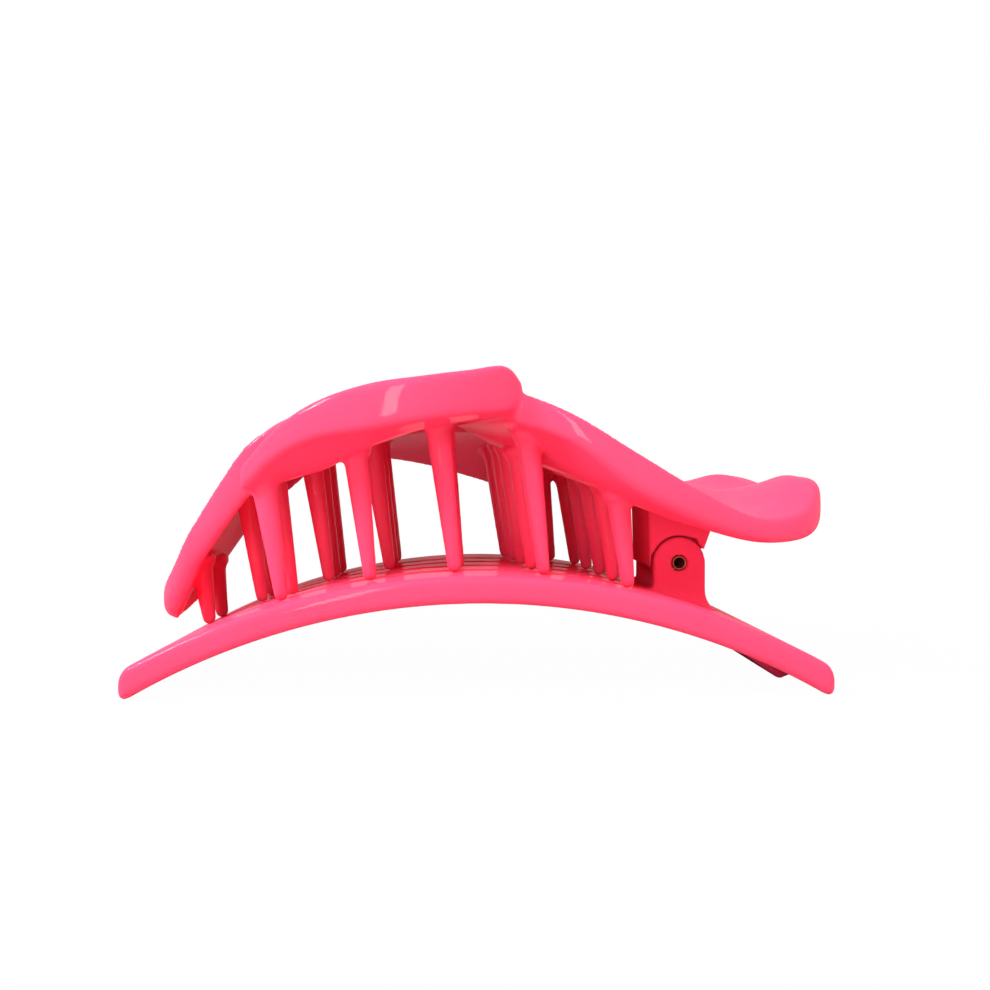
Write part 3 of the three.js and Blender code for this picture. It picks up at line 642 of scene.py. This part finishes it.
def hub():
    """The disc at the blossom's centre, where the petals run into each other."""
    outline = disc(HUB_RADIUS, CENTRE_X, 0, HUB_STEPS)
    heights = (CENTRE_UNDERSIDE + HUB_SINK, CENTRE_UNDERSIDE + PLATE - HUB_SINK)
    return loft("hub", [[(x, y, z) for x, y in outline] for z in heights])


def upper_jaw():
    blades = [petal(name, fall, rows) for name, (fall, rows) in PETALS.items()]
    tree = rod_tree("teeth", tooth_shaped=True)
    teeth = settled(with_tree(edges_object("tooth_lines", tooth_lines(blades)), tree), "teeth")
    block = hinge_block(blades)
    return placed(fused("upper_jaw_moulding", [*blades, hub(), teeth, block]))


# Lower jaw

def plate_ring(x, inset):
    """The lower jaw's outline across the clip at x, with its four long edges rounded."""
    rounding = max(EDGE_ROUND - inset / 2, EDGE_ROUND / 4)
    half_y = HALF_WIDTH - inset - rounding
    upper, lower = inset + rounding, JAW_THICKNESS - inset - rounding
    ring = []
    for quarter, (side, depth) in enumerate(((1, upper), (-1, upper), (-1, lower), (1, lower))):
        for step in range(CORNER_STEPS + 1):
            turn = (quarter + step / CORNER_STEPS) * math.pi / 2
            y = side * half_y + rounding * math.cos(turn)
            ring.append((x, y, arch_z(x, depth - rounding * math.sin(turn))))
    return ring


def arched_plate():
    turns = [k / NOSE_STEPS * math.pi / 2 for k in range(NOSE_STEPS)]
    nose = [(HALF_LENGTH - NOSE_ROUND * (1 - math.cos(t)), NOSE_ROUND * (1 - math.sin(t))) for t in turns]
    inner = HALF_LENGTH - NOSE_ROUND
    span = [(x, 0) for x in np.linspace(inner, -inner, ARCH_STEPS + 1)]
    tail = [(-x, inset) for x, inset in reversed(nose)]
    return loft("plate", [plate_ring(x, inset) for x, inset in nose + span + tail])


def slot_cutter(y):
    """A solid that cuts a slot right through the arched plate, hollowed in the middle of its ends."""
    half = SLOT_WIDTH / 2
    insets = [half * (1 - math.sin(k / SLOT_END_STEPS * math.pi / 2)) for k in range(1, SLOT_END_STEPS + 1)]
    ends = [(inset, math.sqrt(half ** 2 - inset ** 2)) for inset in insets]
    stations = [(SLOT_FRONT + inset, reach) for inset, reach in ends]
    stations += [(x, half) for x in np.linspace(SLOT_FRONT + half, SLOT_BACK - half, SLOT_STEPS)[1:-1]]
    stations += [(SLOT_BACK - inset, reach) for inset, reach in reversed(ends)]
    corners = ((-1, -OVER), (1, -OVER), (1, JAW_THICKNESS + OVER), (-1, JAW_THICKNESS + OVER))
    return loft("slot", [[(x, y + side * r, arch_z(x, depth)) for side, depth in corners] for x, r in stations])


def ear(name, from_y, to_y):
    """A hinge ear: round on top, with the pin's hole, and a flared foot in the plate."""
    left, right = HINGE_X - EAR_RADIUS, HINGE_X + EAR_RADIUS
    foot = (right + EAR_FLARE, arch_z(right + EAR_FLARE))
    corner, end = (right, arch_z(right)), (right, arch_z(right) + EAR_FLARE)
    outline = [(left, arch_z(left) - ROOT_BURY), (foot[0], foot[1] - ROOT_BURY), foot]
    for t in np.linspace(0, 1, FLARE_STEPS)[1:]:
        outline.append(tuple((1 - t) ** 2 * p + 2 * t * (1 - t) * q + t * t * r
                             for p, q, r in zip(foot, corner, end)))
    outline += [(HINGE_X + EAR_RADIUS * math.cos(a), HINGE_Z + EAR_RADIUS * math.sin(a))
                for a in np.linspace(0, math.pi, EAR_STEPS)]
    hole = prism("ear_hole", disc(EAR_HOLE), -EAR_OUTER - OVER, EAR_OUTER + OVER)
    return cut(prism(name, outline, from_y, to_y), [hole])


def thumb_ramp():
    start, back = arch_z(RAMP_START, JAW_THICKNESS), arch_z(RAMP_BACK, JAW_THICKNESS)
    outline = [(RAMP_START, start), (RAMP_TIP - RAMP_LOW, RAMP_LOW), (RAMP_TIP + RAMP_LOW, RAMP_LOW),
               (RAMP_BACK, back), (RAMP_BACK, back + RAMP_BURY), (RAMP_START, start + RAMP_BURY)]
    return prism("ramp", outline, -RAMP_HALF, RAMP_HALF)


def lower_jaw():
    middles = [(k - (SLOT_COUNT - 1) / 2) * BAR_PITCH for k in range(SLOT_COUNT)]
    plate = cut(arched_plate(), [slot_cutter(y) for y in middles])
    ears = [ear("ear_near", -EAR_OUTER, -EAR_INNER), ear("ear_far", EAR_INNER, EAR_OUTER)]
    return placed(fused("lower_jaw_moulding", [plate, thumb_ramp(), *ears]))


# Pin and spring

def brass_tube():
    """The hinge pin: a tube whose ends are rolled over by a fine bead."""
    inner, outer, end = PIN_BORE + PIN_BEAD, PIN_RADIUS - PIN_BEAD, PIN_HALF - PIN_BEAD
    profile = [(inner, -PIN_HALF), (outer, -PIN_HALF), (PIN_RADIUS, -end), (PIN_RADIUS, end),
               (outer, PIN_HALF), (inner, PIN_HALF), (PIN_BORE, end), (PIN_BORE, -end)]
    rings = [[(HINGE_X + r * math.cos(a), y, HINGE_Z + r * math.sin(a)) for r, y in profile]
             for a in np.linspace(0, 2 * math.pi, PIN_SIDES, endpoint=False)]
    n = len(profile)
    corners = [(k, i) for k in range(PIN_SIDES) for i in range(n)]
    faces = [[(k + a) % PIN_SIDES * n + (i + b) % n for a, b in ((0, 0), (0, 1), (1, 1), (1, 0))]
             for k, i in corners]
    tube = mesh_object("brass_tube", [point for ring in rings for point in ring], faces)
    tube.data.shade_smooth()
    tube.data.set_sharp_from_angle(angle=SHARP_ANGLE)
    return placed(tube)


def spring_leg(a, b):
    return [a.lerp(b, t) for t in np.linspace(0, 1, LEG_STEPS)]


def spring_line():
    """The wire's middle: along the upper leg, round the coil, and down to just over the lower jaw."""
    start = math.pi / 2
    end = start + 2 * math.pi * COIL_TURNS + math.pi - LEG_FALL
    turns = (end - start) / (2 * math.pi)
    coil = []
    for t in np.linspace(0, 1, COIL_STEPS):
        a = start + (end - start) * t
        coil.append(Vector((HINGE_X + COIL_RADIUS * math.cos(a), (t - 0.5) * turns * COIL_PITCH,
                            HINGE_Z + COIL_RADIUS * math.sin(a))))
    fall = Vector((-math.sin(end), 0, math.cos(end)))
    lower = coil[-1].copy()
    for _ in range(LEG_TRIES):
        lower += fall * (lower.z - WIRE_RADIUS - LEG_GAP - arch_z(lower.x)) / fall.length
    upper = coil[0] + Vector((UPPER_LEG, 0, 0))
    return spring_leg(upper, coil[0])[:-1] + coil + spring_leg(coil[-1], lower)[1:]


def wire_spring():
    line = edges_object("spring_line", [spring_line()])
    wire = rod_tree("wire", tooth_shaped=False)
    spring = settled(with_tree(line, wire, Sides=WIRE_SIDES, Steps=WIRE_STEPS), "wire_spring")
    outwards(spring)
    spring.data.shade_smooth()
    return placed(spring)


# Materials

def gloss_group():
    """Moulded gloss: a slow change of tone, faint flow marks and a very fine grain."""
    tree = bpy.data.node_groups.new("moulded_gloss", "ShaderNodeTree")
    for way, kind, labels in (
            ("INPUT", "NodeSocketColor", ("Colour", "Deep colour")),
            ("INPUT", "NodeSocketFloat", ("Roughness", "Flow scale", "Grain scale", "Seam")),
            ("OUTPUT", "NodeSocketColor", ("Colour",)),
            ("OUTPUT", "NodeSocketFloat", ("Roughness", "Height"))):
        for label in labels:
            tree.interface.new_socket(label, in_out=way, socket_type=kind)
    new, link = tree.nodes.new, tree.links.new
    source, result, place = new("NodeGroupInput"), new("NodeGroupOutput"), new("ShaderNodeTexCoord")

    def noise(scale, detail):
        node = new("ShaderNodeTexNoise")
        link(place.outputs["Object"], node.inputs["Vector"])
        link(source.outputs[scale], node.inputs["Scale"])
        node.inputs["Detail"].default_value = detail
        return node.outputs["Fac"]

    def swing(value, most):
        return maths(tree, "MULTIPLY", maths(tree, "SUBTRACT", value, 0.5), most)

    flow, grain = noise("Flow scale", detail=2), noise("Grain scale", detail=3)
    tone = new("ShaderNodeMix")
    tone.data_type = "RGBA"
    link(maths(tree, "MULTIPLY", flow, FLOW_TONE), tone.inputs["Factor"])
    link(source.outputs["Colour"], tone.inputs["A"])
    link(source.outputs["Deep colour"], tone.inputs["B"])
    link(tone.outputs["Result"], result.inputs["Colour"])
    rough = maths(tree, "ADD", source.outputs["Roughness"], swing(flow, FLOW_ROUGHNESS))
    link(maths(tree, "ADD", rough, swing(grain, GRAIN_ROUGHNESS)), result.inputs["Roughness"])
    height = maths(tree, "ADD", maths(tree, "MULTIPLY", flow, FLOW_HEIGHT),
                   maths(tree, "MULTIPLY", grain, GRAIN_HEIGHT))
    link(maths(tree, "ADD", height, source.outputs["Seam"]), result.inputs["Height"])
    return tree


GLOSS = gloss_group()


def material(name, **constants):
    """A Principled material, with the values that are the same all over on its own sockets."""
    mat = bpy.data.materials.new(name)
    mat.use_nodes = True
    shader = mat.node_tree.nodes["Principled BSDF"]
    for label, value in constants.items():
        shader.inputs[label.replace("_", " ")].default_value = value
    return mat, mat.node_tree, shader


def dress(tree, shader, relief, **values):
    """Moulded gloss with a material's own values, on its colour, roughness and relief."""
    gloss, bump = tree.nodes.new("ShaderNodeGroup"), tree.nodes.new("ShaderNodeBump")
    gloss.node_tree = GLOSS
    for label, value in values.items():
        feed(tree, gloss.inputs[label.replace("_", " ")], value)
    bump.inputs["Strength"].default_value = 1
    bump.inputs["Distance"].default_value = relief
    feed(tree, shader.inputs["Base Color"], gloss.outputs["Colour"])
    feed(tree, shader.inputs["Roughness"], gloss.outputs["Roughness"])
    feed(tree, bump.inputs["Height"], gloss.outputs["Height"])
    feed(tree, shader.inputs["Normal"], bump.outputs["Normal"])


def away_from_axis(tree, x, z):
    """Distance from a line along Y."""
    new, link = tree.nodes.new, tree.links.new
    place, flat, away = new("ShaderNodeTexCoord"), new("ShaderNodeVectorMath"), new("ShaderNodeVectorMath")
    flat.operation, away.operation = "MULTIPLY_ADD", "LENGTH"
    flat.inputs[1].default_value = (1, 0, 1)
    flat.inputs[2].default_value = (-x, 0, -z)
    link(place.outputs["Object"], flat.inputs[0])
    link(flat.outputs["Vector"], away.inputs[0])
    return away.outputs["Value"]


def eased(tree, value, span, start, end):
    """From start to end while the value goes through the span."""
    node = tree.nodes.new("ShaderNodeMapRange")
    node.interpolation_type = "SMOOTHSTEP"
    labels = ("Value", "From Min", "From Max", "To Min", "To Max")
    for label, number in zip(labels, (value, *span, start, end)):
        feed(tree, node.inputs[label], number)
    return node.outputs["Result"]


def parting_line(tree):
    """A hair-thin ridge along the side band, three fifths of the way down the plate."""
    radius = away_from_axis(tree, SHIFT.x, ARCH_CENTRE_Z)
    away = maths(tree, "ABSOLUTE", maths(tree, "SUBTRACT", radius, ARCH_RADIUS - PARTING_DEPTH))
    return eased(tree, away, (0, PARTING_WIDTH), PARTING_HEIGHT, 0)


def hinge_distance(tree):
    return away_from_axis(tree, HINGE_X + SHIFT.x, HINGE_Z)


def polish(tree, lower):
    """One on the polished plastic, nought on the satin ears and between the hinge block's satin walls."""
    away = eased(tree, hinge_distance(tree), LOWER_SATIN if lower else UPPER_SATIN, 0, 1)
    if lower:
        return away
    place, apart = tree.nodes.new("ShaderNodeTexCoord"), tree.nodes.new("ShaderNodeSeparateXYZ")
    feed(tree, apart.inputs["Vector"], place.outputs["Object"])
    aside = maths(tree, "ABSOLUTE", maths(tree, "SUBTRACT", apart.outputs["Y"], SHIFT.y))
    return maths(tree, "MAXIMUM", away, eased(tree, aside, BLOCK_SATIN, 0, 1))


def pink_plastic(name, lower):
    """Pink moulded plastic with a thin gloss; the lower jaw has a parting line."""
    mat, tree, shader = material(
        name, IOR=1.5, Specular_IOR_Level=0, Coat_Roughness=0.06, Subsurface_Weight=0.25,
        Subsurface_Radius=(1.0, 0.25, 0.3), Subsurface_Scale=1.8 * MM)
    polished = polish(tree, lower)
    facing = tree.nodes.new("ShaderNodeLayerWeight").outputs["Facing"]
    coat = maths(tree, "MULTIPLY", polished, eased(tree, facing, GLANCE, *COAT_WEIGHTS))
    feed(tree, shader.inputs["Coat Weight"], coat)
    rough = eased(tree, polished, (0, 1), SATIN_ROUGHNESS, POLISHED_ROUGHNESS)
    dress(tree, shader, MOULDED_RELIEF, Colour=PINK, Deep_colour=PINK_DEEP, Roughness=rough,
          Flow_scale=55, Grain_scale=2600, Seam=parting_line(tree) if lower else 0.0)
    return mat


def wire_steel():
    mat, tree, shader = material("spring_wire_metal", Metallic=1.0)
    dress(tree, shader, METAL_RELIEF, Colour=STEEL, Deep_colour=STEEL_DEEP, Roughness=0.28,
          Flow_scale=700, Grain_scale=9000, Seam=0.0)
    return mat


def tube_brass():
    """Brass outside; dull on the wall of the bore, with a dark red colour there that is painted shade."""
    mat, tree, shader = material("brass_tube_metal")
    away = hinge_distance(tree)
    outside = eased(tree, away, BORE_EDGE, 0, 1)
    # Painted shade: the bore's wall takes the dark red colour in place of brass
    mix = tree.nodes.new("ShaderNodeMix")
    mix.data_type = "RGBA"
    for label, value in (("Factor", outside), ("A", BORE_PAINTED_SHADE), ("B", BRASS)):
        feed(tree, mix.inputs[label], value)
    feed(tree, shader.inputs["Metallic"], outside)
    # The painted bore shade colour is also the deep tone that the flow marks mix in
    dress(tree, shader, METAL_RELIEF, Colour=mix.outputs["Result"], Deep_colour=BORE_PAINTED_SHADE,
          Roughness=eased(tree, away, BORE_EDGE, 0.8, 0.22), Flow_scale=700, Grain_scale=9000, Seam=0.0)
    return mat


# The finished pieces

def finish(obj, mat, node, body=None):
    obj.data.materials.clear()
    obj.data.materials.append(mat)
    for polygon in obj.data.polygons:
        polygon.material_index = 0
    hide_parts(node)
    if body:
        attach(obj, body)
    return obj


finish(upper_jaw(), pink_plastic("pink_plastic_upper", lower=False), "upper_jaw", "upper")
finish(lower_jaw(), pink_plastic("pink_plastic_lower", lower=True), "lower_jaw", "lower")
finish(brass_tube(), tube_brass(), "hinge_pin", "lower")
spring = finish(wire_spring(), wire_steel(), "torsion_spring")
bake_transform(spring)


# Stage, lamps and camera

def background_rays(tree):
    """The rays that show the white background itself: straight on, and off gloss or through glass."""
    path = tree.nodes.new("ShaderNodeLightPath").outputs
    return path["Is Camera Ray"], maths(tree, "MAXIMUM", path["Is Glossy Ray"], path["Is Transmission Ray"])


def floor_material():
    """A pale floor that keeps the clip's shade near it and is the white background further off."""
    mat = bpy.data.materials.new("pale_floor")
    mat.use_nodes = True
    tree = mat.node_tree
    new = tree.nodes.new
    tree.nodes.remove(tree.nodes["Principled BSDF"])
    diffuse, white, mix = new("ShaderNodeBsdfDiffuse"), new("ShaderNodeEmission"), new("ShaderNodeMixShader")
    diffuse.inputs["Color"].default_value = FLOOR_GREY
    place, away = new("ShaderNodeTexCoord"), new("ShaderNodeVectorMath")
    away.operation = "LENGTH"
    feed(tree, away.inputs[0], place.outputs["Object"])

    def fade(ray, span, least):
        """The share of the white background in what a kind of ray shows."""
        return maths(tree, "MULTIPLY", eased(tree, away.outputs["Value"], span, least, 1.0), ray)

    straight, mirrored = background_rays(tree)
    share = maths(tree, "MAXIMUM", fade(straight, SEEN_FADE, SEEN_LEAST),
                  fade(mirrored, MIRRORED_FADE, MIRRORED_LEAST))
    for socket, value in zip(mix.inputs, (share, diffuse.outputs["BSDF"], white.outputs["Emission"])):
        feed(tree, socket, value)
    feed(tree, tree.nodes["Material Output"].inputs["Surface"], mix.outputs["Shader"])
    return mat


def floor():
    corners = [(x * FLOOR_HALF, y * FLOOR_HALF, FLOOR_Z) for x, y in ((-1, -1), (1, -1), (1, 1), (-1, 1))]
    obj = mesh_object("floor", corners, [(0, 1, 2, 3)])
    obj.data.materials.append(floor_material())


def world_light():
    """A little light from all round, and white where the background itself shows."""
    world = bpy.data.worlds.new("studio")
    bpy.context.scene.world = world
    world.use_nodes = True
    tree = world.node_tree
    background, strength = tree.nodes["Background"], tree.nodes.new("ShaderNodeMix")
    background.inputs["Color"].default_value = (1, 1, 1, 1)
    shown = maths(tree, "MAXIMUM", *background_rays(tree))
    for label, value in (("Factor", shown), ("A", WORLD_LIGHT), ("B", WHITE)):
        feed(tree, strength.inputs[label], value)
    feed(tree, background.inputs["Strength"], strength.outputs["Result"])


def lamp(name, place, target, size, power, mirrored):
    data = bpy.data.lights.new(name, "AREA")
    data.shape = "RECTANGLE"
    data.size, data.size_y = size
    data.energy = power
    obj = in_scene(name, data)
    obj.location = place
    obj.rotation_euler = (Vector(target) - Vector(place)).to_track_quat("-Z", "Y").to_euler()
    obj.visible_glossy = mirrored


def camera():
    data = bpy.data.cameras.new("camera")
    data.sensor_width = SENSOR
    data.lens = SENSOR * FOCAL_SHARE
    data.clip_start = CLOSEST
    obj = in_scene("camera", data)
    obj.location = CAMERA_PLACE
    obj.rotation_euler = CAMERA_TURN
    bpy.context.scene.camera = obj


floor()
world_light()
for name, values in LAMPS.items():
    lamp(name, *values)
camera()
bpy.context.scene.view_settings.view_transform = "Standard"
